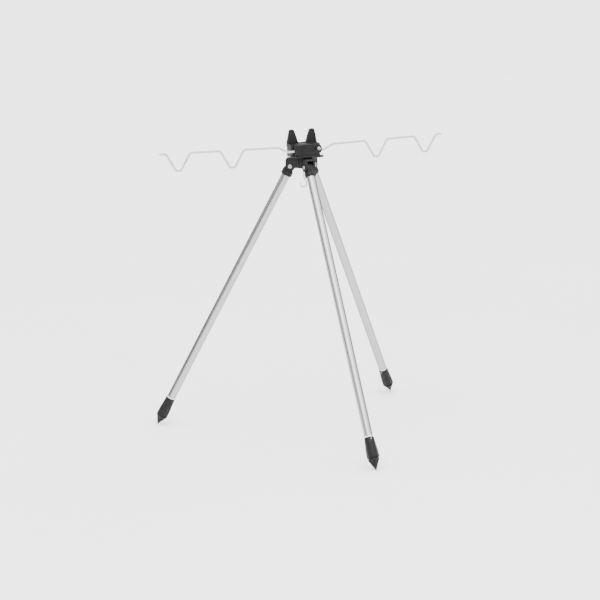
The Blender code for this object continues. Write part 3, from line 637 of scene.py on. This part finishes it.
def show_yoke():
    corner = 0.0030
    left = YOKE_X - YOKE_HALF_WIDTH + corner
    right = YOKE_X + YOKE_HALF_WIDTH - corner
    base = [
        *arc((right, YOKE_BACK - corner), corner, 0, 90, 12),
        *arc((left, YOKE_BACK - corner), corner, 90, 180, 12),
        *arc((left, YOKE_FRONT + corner), corner, 180, 270, 12),
        *arc((right, YOKE_FRONT + corner), corner, 270, 360, 12),
    ]
    block = prism(base, YOKE_BOTTOM, YOKE_SHOULDER, "Z")
    floor_z = YOKE_SHOULDER + 0.0010

    def buried(point):
        return point.z < floor_z

    horns = rounded_prism(horn_outline(), HORN_FRONT, YOKE_BACK, "Y", 0.0016, 5, buried)
    front = COVER_BACK + GAP
    ledge = [(front, LEDGE_TOP), (YOKE_FRONT + 0.001, LEDGE_TOP)]
    ledge += [(YOKE_FRONT + 0.001, LEDGE_TOP - LEDGE_THICK), (front, LEDGE_TOP - LEDGE_THICK)]
    low, high = left - 0.0023, right + 0.0027
    joined = [
        (rod(SPIGOT_R, SPIGOT_BOTTOM, YOKE_BOTTOM + 0.004), Matrix()),
        (horns, Matrix()),
        (prism(ledge, low, high, "X"), Matrix()),
    ]
    for ends in LUGS.values():
        lug = [
            *arc((BARREL_Y, BARREL_Z), BARREL_R, 95, 265, 20),
            (YOKE_FRONT + 0.0010, YOKE_BOTTOM + 0.0004),
            (YOKE_FRONT + 0.0010, LEDGE_TOP - 0.0010),
            (front, LEDGE_TOP - 0.0010),
            (front, BARREL_Z + BARREL_R - 0.0001),
        ]
        joined.append((prism(lug, *ends, "X"), Matrix()))
    cut = [(rod(PIN_R + GAP, -0.04, 0.04, segments=32), along_x(0, BARREL_Y, BARREL_Z))]
    for x in ARM_PIVOTS.values():
        bore = rod(ARM_PIN_R + GAP, -ARM_PIN_END - GAP, 0.03, segments=32)
        cut.append((bore, along_y(x, 0.0, ARM_PIVOT_Z)))
    top = CROSS_PIN_Z + HOOK_EYE_R + HOOK_WIRE_R + 0.0008
    slot = [(-0.01, SPIGOT_BOTTOM - 0.005), (0.01, SPIGOT_BOTTOM - 0.005), (0.01, top), (-0.01, top)]
    cut.append((prism(slot, -HOOK_SLOT_HALF, HOOK_SLOT_HALF), Matrix()))
    cut.append((rod(CROSS_PIN_R + GAP, -0.03, 0.03, segments=32), along_y(0, 0, CROSS_PIN_Z)))
    pocket = [(-0.020, YOKE_BOTTOM + 0.0045), (0.020, YOKE_BOTTOM + 0.0045)]
    pocket += [(0.020, YOKE_SHOULDER - 0.0045), (-0.020, YOKE_SHOULDER - 0.0045)]
    recess = rounded_prism(closed_path(pocket, [0.002] * 4), YOKE_BACK - 0.0008, 0.03, "Y", 0.0001, 1)
    cut.append((recess, Matrix()))
    show("yoke", carved("yoke", block, joined, cut, 0.0005))


def show_cover():
    over_lugs = BARREL_Z + BARREL_R + 0.0004
    low, high = BARREL_ENDS
    outline = [
        (COVER_LEFT, COVER_TOP),
        (COVER_LEFT, over_lugs),
        (low, over_lugs),
        (low, COVER_BOTTOM),
        (high, COVER_BOTTOM),
        (high, over_lugs),
        *arc((BOSS_X, BOSS_Z), BOSS_R, -58, 84, 36),
        (BOSS_X - 0.0030, COVER_TOP),
    ]

    def back_edge(point):
        return point.y > COVER_FRONT + 0.001

    plate = rounded_prism(outline, COVER_FRONT, COVER_BACK, "Y", 0.0009, 4, back_edge)
    pad = [(SPACER[0], COVER_TOP - 0.0004), (SPACER[0], LEDGE_TOP + 0.002)]
    pad += [(SPACER[1], LEDGE_TOP + 0.002), (SPACER[1], COVER_TOP - 0.0004)]
    at = along_y(ARM_PIVOTS["right"], 0.0, ARM_PIVOT_Z)
    boss = rod(ARM_RIVET_HEAD_R + 0.0022, -COVER_BACK + 0.001, -COVER_FRONT + BOSS_RAISED, 0.0005)
    barrel_at = along_x(0.0, BARREL_Y, BARREL_Z)
    joined = [
        (prism(pad, COVER_BACK - 0.001, YOKE_FRONT - GAP), Matrix()),
        (rod(BARREL_R, low, high, 0.0004), barrel_at),
        (boss, at),
    ]
    rail = [(COVER_LEFT + 0.0022, COVER_TOP - 0.0030), (COVER_LEFT + 0.0022, COVER_TOP - 0.0018)]
    rail += [(BOSS_X - 0.0070, COVER_TOP - 0.0018), (BOSS_X - 0.0070, COVER_TOP - 0.0030)]
    joined.append((prism(rail, COVER_FRONT - 0.0005, COVER_FRONT + 0.001), Matrix()))
    cut = [
        (rod(ARM_PIN_R + GAP, 0.0, 0.04, segments=32), at),
        (rod(PIN_R + GAP, -0.04, 0.04, segments=32), barrel_at),
    ]
    show("arm_cover", carved("arm_cover", plate, joined, cut, 0.0003))


def show_head_hardware():
    face = -COVER_FRONT + BOSS_RAISED + GAP
    head = arc((ARM_RIVET_HEAD_R - 0.0008, face + 0.0008), 0.0008, 90, 0, 6)
    rivet = turned(
        [
            (0.0, face + 0.0004),
            (0.0009, face + 0.0004),
            (0.0012, face + 0.0014),
            (0.0018, face + 0.0016),
            *head,
            (ARM_RIVET_HEAD_R, face),
            (ARM_PIN_R, face),
            (ARM_PIN_R, -ARM_PIN_END),
            (0.0, -ARM_PIN_END),
        ]
    )
    at = HUB_AXIS @ along_y(ARM_PIVOTS["right"], 0.0, ARM_PIVOT_Z)
    show("arm_rivet_right", mesh_of(rivet, "arm_rivet_right"), at)
    pin = rod(ARM_PIN_R, -ARM_PIN_END, -COVER_BACK - GAP, 0.0003)
    at = HUB_AXIS @ along_y(ARM_PIVOTS["left"], 0.0, ARM_PIVOT_Z)
    show("arm_pin_left", mesh_of(pin, "arm_pin_left"), at)
    pin = rod(CROSS_PIN_R, -CROSS_PIN_HALF, CROSS_PIN_HALF, 0.0003)
    at = HUB_AXIS @ along_y(0.0, 0.0, CROSS_PIN_Z)
    show("hub_cross_pin", mesh_of(pin, "hub_cross_pin"), at)
    knob = LUGS["right"][1] + GAP
    profile = [(0.0, knob + KNOB_LENGTH)]
    profile += arc((KNOB_R - 0.0009, knob + KNOB_LENGTH - 0.0009), 0.0009, 90, 0, 6)
    for i in range(3):
        level = knob + KNOB_LENGTH - 0.0014 - i * 0.0008
        profile += [(KNOB_R, level), (KNOB_R - 0.00025, level - 0.0002)]
        profile += [(KNOB_R - 0.00025, level - 0.0004), (KNOB_R, level - 0.0006)]
    profile += arc((KNOB_R - 0.0005, knob + 0.0005), 0.0005, 0, -90, 4)
    profile += [(PIN_R, knob), (PIN_R, knob - PIN_LENGTH + 0.0005)]
    profile += [(PIN_R - 0.0005, knob - PIN_LENGTH), (0.0, knob - PIN_LENGTH)]
    at = HUB_AXIS @ along_x(0.0, BARREL_Y, BARREL_Z)
    show("cover_pull_pin", mesh_of(turned(profile, 64), "cover_pull_pin"), at)


def arm_run_z(s):
    """Height of an arm's outer run over its own root, at distance s from the hub's axis."""
    return ROOT_DROP + ARM_RISE * (s - JOG_END)


def arm_path(pivot_s):
    """An arm's centreline from its eye outwards, as (distance outwards from its pivot, height)."""
    root = -EYE_R
    corners = [(0.0, root), (JOG_START, root), (JOG_END, root + ROOT_DROP)]
    radii = [0.0120, 0.0120]
    for centre in NOTCH_CENTRES:
        top_in = centre - NOTCH_HALF_TOP
        top_out = centre + NOTCH_HALF_TOP
        bottom = root + arm_run_z(centre) - NOTCH_DEPTH
        corners += [
            (top_in, root + arm_run_z(top_in)),
            (centre - NOTCH_HALF_BOTTOM, bottom),
            (centre + NOTCH_HALF_BOTTOM, bottom),
            (top_out, root + arm_run_z(top_out)),
        ]
        radii += [0.0085, 0.0042, 0.0042, 0.0085]
    corners.append((ARM_END, root + arm_run_z(ARM_END)))
    run = filleted([(s - pivot_s if s else 0.0, z) for s, z in corners], radii)
    return [*arc((0.0, 0.0), EYE_R, 14, 270, 48), *run[1:]]


def show_arms():
    for side, pivot in ARM_PIVOTS.items():
        outwards = 1.0 if side == "right" else -1.0
        path = arm_path(pivot * outwards)
        path[-1] = (path[-1][0] - WIRE_R, path[-1][1] - WIRE_R * ARM_RISE)
        wire = bent_wire([(x * outwards, z) for x, z in path], WIRE_R, 32)
        at = HUB_AXIS @ Matrix.Translation((pivot, ARM_Y, ARM_PIVOT_Z))
        show(f"rod_arm_{side}", mesh_of(wire, f"rod_arm_{side}", 60), at)


def show_hook():
    bottom = -HOOK_DROP
    neck = [(0.0, -HOOK_EYE_R - 0.0016), (0.0, -HOOK_SHANK)]
    eye = arc((0.0, 0.0), HOOK_EYE_R, 250, -60, 40)
    centre = (0.0, bottom + HOOK_R + HOOK_WIRE_R)
    bend = arc(centre, HOOK_R, 20, -175, 48)
    lead = filleted([eye[-1], neck[0], neck[1], bend[0], bend[1]], [0.0009, 0.0060, 0.0010], 10)
    path = [*eye, *lead[1:-1], *bend[1:], (bend[-1][0] - 0.0006, bend[-1][1] + 0.0020)]
    wire = bent_wire(path, HOOK_WIRE_R, 20)
    at = HUB_AXIS @ Matrix.Translation((0.0, 0.0, CROSS_PIN_Z))
    show("hook", mesh_of(wire, "hook", 60), at)


# Legs


def into_leg(points):
    """Points given in the hub's upright frame, as they lie in the frame of a spread leg."""
    c, s = math.cos(LEG_SPREAD), math.sin(LEG_SPREAD)
    return [(x * c + z * s, -x * s + z * c) for x, z in points]


def socket_mesh(name):
    heel_z = math.sqrt(HEEL_R**2 - TONGUE_R**2)
    heel_at = math.degrees(math.atan2(heel_z, -TONGUE_R))
    heel = into_leg([(-TONGUE_R, 0.0), *reversed(arc((0, 0), HEEL_R, 108, heel_at, 12))])
    outline = [
        *arc((0, 0), TONGUE_R, 0, 100, 24),
        *reversed(heel),
        (-TONGUE_R, -0.0030),
        (-TONGUE_R, -SOCKET_TOP - 0.0010),
        (TONGUE_R, -SOCKET_TOP - 0.0010),
    ]
    collar = [(0.0, -SOCKET_TOP), (SOCKET_R - 0.0014, -SOCKET_TOP)]
    collar += arc((SOCKET_R - 0.0008, -SOCKET_TOP - 0.0008), 0.0008, 90, 0, 5)
    collar += [(SOCKET_R - 0.0001, -SOCKET_END + 0.0026), (SOCKET_R + 0.0004, -SOCKET_END + 0.0020)]
    collar += arc((SOCKET_R - 0.0002, -SOCKET_END + 0.0006), 0.0006, 0, -90, 5)
    collar += [(0.0, -SOCKET_END)]
    joined = [(turned(collar), Matrix())]
    rib = [(TONGUE_R - 0.0015, 0.0050), (TONGUE_R - 0.0015, -SOCKET_END + 0.0022)]
    rib += [(SOCKET_R + 0.0007, -SOCKET_END + 0.0022), (SOCKET_R + 0.0007, -SOCKET_TOP)]
    rib += [(TONGUE_R + 0.0006, -0.0030), (TONGUE_R + 0.0001, 0.0012)]
    joined.append((prism(rib, -0.0010, 0.0010), Matrix()))
    for turn in (60, 120, 180, 240, 300):
        web = [(SOCKET_R - 0.002, -SOCKET_END + 0.0022), (SOCKET_R - 0.002, -SOCKET_TOP - 0.0012)]
        web += [(SOCKET_R + 0.0005, -SOCKET_TOP - 0.0022), (SOCKET_R + 0.0005, -SOCKET_END + 0.0022)]
        joined.append((prism(web, -0.0008, 0.0008), Matrix.Rotation(math.radians(turn), 4, "Z")))
    bore = rod(OUTER_TUBE_R + GAP, -SOCKET_END - 0.01, -TUBE_START + GAP)
    cross = rod(RIVET_R + GAP, -0.015, 0.015, segments=32)
    cut = [(bore, Matrix()), (cross, along_y(0.0, 0.0, 0.0))]
    tongue = prism(outline, -TONGUE_HALF, TONGUE_HALF)
    return carved(f"leg_socket_{name}", tongue, joined, cut, 0.0004)


def leg_rivet():
    """A tubular rivet, rolled over at both ends around a small hollow."""
    head = EAR_OUTER + GAP
    half = [(0.0, head - 0.0012), (0.0010, head - 0.0010)]
    half += [(0.0013, head + 0.0009), (0.0018, head + 0.0014)]
    half += arc((RIVET_HEAD_R - 0.0011, head + 0.0003), 0.0011, 85, 0, 8)
    half += [(RIVET_HEAD_R, head), (RIVET_R, head)]
    return turned([*half, *((radius, -height) for radius, height in reversed(half))])


def tube(outer, inner, top, bottom):
    """A tube with its sawn ends lightly deburred."""
    burr = 0.00018
    profile = [
        (outer - burr, -top),
        (outer, -top - burr),
        (outer, -bottom + burr),
        (outer - burr, -bottom),
        (inner + burr, -bottom),
        (inner, -bottom + burr),
        (inner, -top - burr),
        (inner + burr, -top),
    ]
    return turned(profile, 96)


def end_bush():
    flange_top = TUBE_END + GAP
    flange_end = flange_top + BUSH_FLANGE
    bore = INNER_TUBE_R + GAP
    sleeve = OUTER_BORE_R - GAP
    rim = OUTER_TUBE_R + 0.0002
    profile = [(sleeve, -(flange_top - BUSH_SLEEVE)), (sleeve, -flange_top)]
    profile += [(rim - 0.0003, -flange_top), (rim, -flange_top - 0.0003)]
    profile += arc((rim - 0.0006, -flange_end + 0.0006), 0.0006, 0, -90, 5)
    profile += [(bore + 0.0003, -flange_end), (bore, -flange_end + 0.0003)]
    profile += [(bore, -(flange_top - BUSH_SLEEVE))]
    return turned(profile, 96)


def smoothed(points, value):
    """A smooth curve through (position, value) points, read at one position."""
    for (x0, y0), (x1, y1) in zip(points, points[1:]):
        if value <= x1:
            t = min(max((value - x0) / (x1 - x0), 0.0), 1.0)
            return y0 + (y1 - y0) * t
    return points[-1][1]


def foot_mesh(name):
    """A pointed foot: a smooth neck, a barrel with eight flats, a groove and a finned cone."""
    segments = 192
    barrel = [(0.0008, 0.0092), (0.0060, 0.0094), (0.0110, 0.0101), (0.0170, 0.0108)]
    barrel += [(0.0240, 0.0114), (0.0300, 0.01175), (0.0350, 0.0119), (0.0372, 0.0118)]
    tip_centre = FOOT_LENGTH - TIP_ROUND
    rows = [(0.0, FOOT_SOCKET, 0.0, 0.0), (INNER_TUBE_R + GAP, FOOT_SOCKET, 0.0, 0.0)]
    rows += [(INNER_TUBE_R + GAP, 0.0004, 0.0, 0.0), (INNER_TUBE_R + 0.0007, 0.0, 0.0, 0.0)]
    rows += [(0.0084 + 0.0008 * math.sin(t), 0.0008 - 0.0008 * math.cos(t), 0.0, 0.0) for t in (0, 0.5, 1.1)]
    count = 44
    for i in range(count + 1):
        drop = 0.0008 + (0.0372 - 0.0008) * i / count
        flats = smoothed([(0.0095, 0.0), (0.0125, 0.75), (0.0340, 1.0), (0.0366, 0.9)], drop)
        rows.append((smoothed(barrel, drop), drop, flats, 0.0))
    rows += [(0.0114, 0.0380, 0.6, 0.0), (0.0102, 0.0385, 0.1, 0.0), (0.0098, 0.0388, 0.0, 0.0)]
    rows += [(0.0098, 0.0401, 0.0, 0.0), (0.0107, 0.0404, 0.0, 0.0), (0.0111, 0.0408, 0.0, 0.1)]
    count = 26
    for i in range(count + 1):
        along = i / count
        drop = 0.0414 + (tip_centre - 0.0004 - 0.0414) * along
        radius = 0.0111 + (0.00165 - 0.0111) * along**0.96
        fins = min(along * 8, 1.0) * (1.0 - along**3)
        rows.append((radius, drop, 0.0, fins))
    for t in (0.15, 0.5, 0.85, 1.2):
        rows.append((TIP_ROUND * math.cos(t), tip_centre + TIP_ROUND * math.sin(t), 0.0, 0.0))
    rows.append((0.0, FOOT_LENGTH, 0.0, 0.0))
    bm = bmesh.new()
    rings = []
    for radius, drop, flats, fins in rows:
        height = -(FOOT_TOP + drop)
        if radius < 1e-7:
            rings.append([bm.verts.new((0.0, 0.0, height))])
            continue
        ring = []
        for i in range(segments):
            turn = 2 * math.pi * i / segments
            off = (turn + math.pi / 8) % (math.pi / 4) - math.pi / 8
            flat = min(math.cos(math.pi / 8) / math.cos(off), 0.988)
            wave = abs(math.cos(4 * turn)) ** 0.8
            reach = radius * (1.0 + flats * (flat - 1.0)) * (1.0 - fins * 0.22 * (1.0 - wave))
            ring.append(bm.verts.new((reach * math.cos(turn), reach * math.sin(turn), height)))
        rings.append(ring)
    for first, second in zip(rings, rings[1:]):
        for i in range(segments):
            j = (i + 1) % segments
            corners = [first[i % len(first)], first[j % len(first)]]
            corners += [second[j % len(second)], second[i % len(second)]]
            corners = list(dict.fromkeys(corners))
            if len(corners) > 2:
                bm.faces.new(corners)
    return mesh_of(bm, f"foot_{name}", 32)


def show_leg(name, azimuth):
    """One leg. Its frame is at its pivot, with -Z down the leg and Y along the pivot."""
    turn = Matrix.Rotation(math.radians(azimuth), 4, "Z")
    pivot = Matrix.Translation((PIVOT_RADIUS, 0.0, PIVOT_Z))
    leg = HUB_AXIS @ turn @ pivot @ Matrix.Rotation(-LEG_SPREAD, 4, "Y")
    show(f"leg_socket_{name}", socket_mesh(name), leg)
    rivet = mesh_of(leg_rivet(), f"leg_rivet_{name}")
    show(f"leg_rivet_{name}", rivet, leg @ along_y(0.0, 0.0, 0.0))
    outer = tube(OUTER_TUBE_R, OUTER_BORE_R, TUBE_START, TUBE_END)
    show(f"leg_tube_outer_{name}", mesh_of(outer, f"leg_tube_outer_{name}"), leg)
    show(f"leg_end_bush_{name}", mesh_of(end_bush(), f"leg_end_bush_{name}"), leg)
    inner = tube(INNER_TUBE_R, INNER_BORE_R, INNER_START, FOOT_TOP + FOOT_SOCKET - GAP)
    show(f"leg_tube_inner_{name}", mesh_of(inner, f"leg_tube_inner_{name}"), leg)
    show(f"foot_{name}", foot_mesh(name), leg)
    reach = 0.00965
    pin = [(0.0, reach), *arc((0.0009, reach - 0.0004), 0.0004, 90, 0, 4)]
    pin = turned([*pin, *((radius, -height) for radius, height in reversed(pin))], 32)
    at = leg @ along_x(0.0, 0.0, -(FOOT_TOP + FOOT_PIN_DROP))
    show(f"foot_pin_{name}", mesh_of(pin, f"foot_pin_{name}"), at)


def finish_kept_nodes():
    """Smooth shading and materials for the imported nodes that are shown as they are."""
    for node, obj in frame["nodes"].items():
        surface = SLOT_OF[node]
        obj.data.materials.clear()
        obj.data.materials.append(SURFACES[surface])
        obj.data.shade_smooth()
        obj.data.set_sharp_from_angle(angle=math.radians(40))


# Surroundings


def add_floor():
    pale = Graph("floor")
    cloud = pale.noise(1.5, detail=3.0)
    grain = pale.noise(300.0, detail=2.0, offset=2.0)
    colour = pale.mix(pale.band(cloud, 0.3, 0.7), grey(0.90), grey(0.93))
    normal = pale.bump(grain, 0.0002, 0.15)
    surface = pale.finish(base_color=colour, roughness=0.85, metallic=0.0, normal=normal)
    bm = bmesh.new()
    bmesh.ops.create_circle(bm, cap_ends=True, segments=128, radius=FLOOR_RADIUS)
    mesh = bpy.data.meshes.new("floor")
    bm.to_mesh(mesh)
    bm.free()
    mesh.materials.append(surface)
    floor = bpy.data.objects.new("floor", mesh)
    bpy.context.scene.collection.objects.link(floor)


def add_area_light(name, place, target, size, power, colour=(1.0, 1.0, 1.0)):
    light = bpy.data.lights.new(name, "AREA")
    light.shape = "RECTANGLE"
    light.size, light.size_y = size
    light.energy = power
    light.color = colour
    obj = bpy.data.objects.new(name, light)
    bpy.context.scene.collection.objects.link(obj)
    obj.location = place
    obj.rotation_euler = (Vector(target) - Vector(place)).to_track_quat("-Z", "Y").to_euler()


def add_light():
    """Even light from all of the upper sky, dim near the horizon, and one soft lamp in front."""
    world = bpy.data.worlds.new("studio")
    bpy.context.scene.world = world
    world.use_nodes = True
    nodes = world.node_tree.nodes
    links = world.node_tree.links
    background = nodes["Background"]
    background.inputs["Color"].default_value = (1.0, 1.0, 1.0, 1.0)
    coordinates = nodes.new("ShaderNodeTexCoord")
    split = nodes.new("ShaderNodeSeparateXYZ")
    links.new(coordinates.outputs["Generated"], split.inputs[0])
    height = nodes.new("ShaderNodeMapRange")
    height.inputs["From Min"].default_value = DIM_BELOW
    height.inputs["From Max"].default_value = BRIGHT_ABOVE
    height.inputs["To Min"].default_value = HORIZON_STRENGTH
    height.inputs["To Max"].default_value = ZENITH_STRENGTH
    links.new(split.outputs["Z"], height.inputs["Value"])
    path = nodes.new("ShaderNodeLightPath")
    strength = nodes.new("ShaderNodeMix")
    strength.data_type = "FLOAT"
    strength.inputs["B"].default_value = BACKDROP_STRENGTH
    links.new(path.outputs["Is Camera Ray"], strength.inputs["Factor"])
    links.new(height.outputs["Result"], strength.inputs["A"])
    links.new(strength.outputs["Result"], background.inputs["Strength"])
    middle = (0.0, HUB_Y, 0.3)
    add_area_light("key", (-1.0, -2.1, 2.2), middle, (1.8, 1.4), KEY_POWER)


def add_camera():
    """A long lens from the front left, a little above the head's height and rolled by a degree."""
    back = Vector(
        (
            math.sin(CAMERA_AZIMUTH) * math.cos(CAMERA_ELEVATION),
            -math.cos(CAMERA_AZIMUTH) * math.cos(CAMERA_ELEVATION),
            math.sin(CAMERA_ELEVATION),
        )
    )
    target = Vector(CAMERA_TARGET)
    right = (-back).cross(Vector((0.0, 0.0, 1.0))).normalized()
    up = back.cross(right)
    across = right * math.cos(CAMERA_ROLL) + up * math.sin(CAMERA_ROLL)
    over = up * math.cos(CAMERA_ROLL) - right * math.sin(CAMERA_ROLL)
    place = target + back * CAMERA_DISTANCE
    matrix = Matrix((across, over, back)).transposed().to_4x4()
    data = bpy.data.cameras.new("camera")
    data.sensor_width = 36.0
    data.lens = CAMERA_LENS
    camera = bpy.data.objects.new("camera", data)
    bpy.context.scene.collection.objects.link(camera)
    camera.matrix_world = Matrix.Translation(place) @ matrix
    bpy.context.scene.camera = camera


show_hub()
show_yoke()
show_cover()
show_head_hardware()
show_arms()
show_hook()
for leg_name, leg_azimuth in zip(LEG_NAMES, LEG_AZIMUTHS):
    show_leg(leg_name, leg_azimuth)
finish_kept_nodes()
add_floor()
add_light()
add_camera()
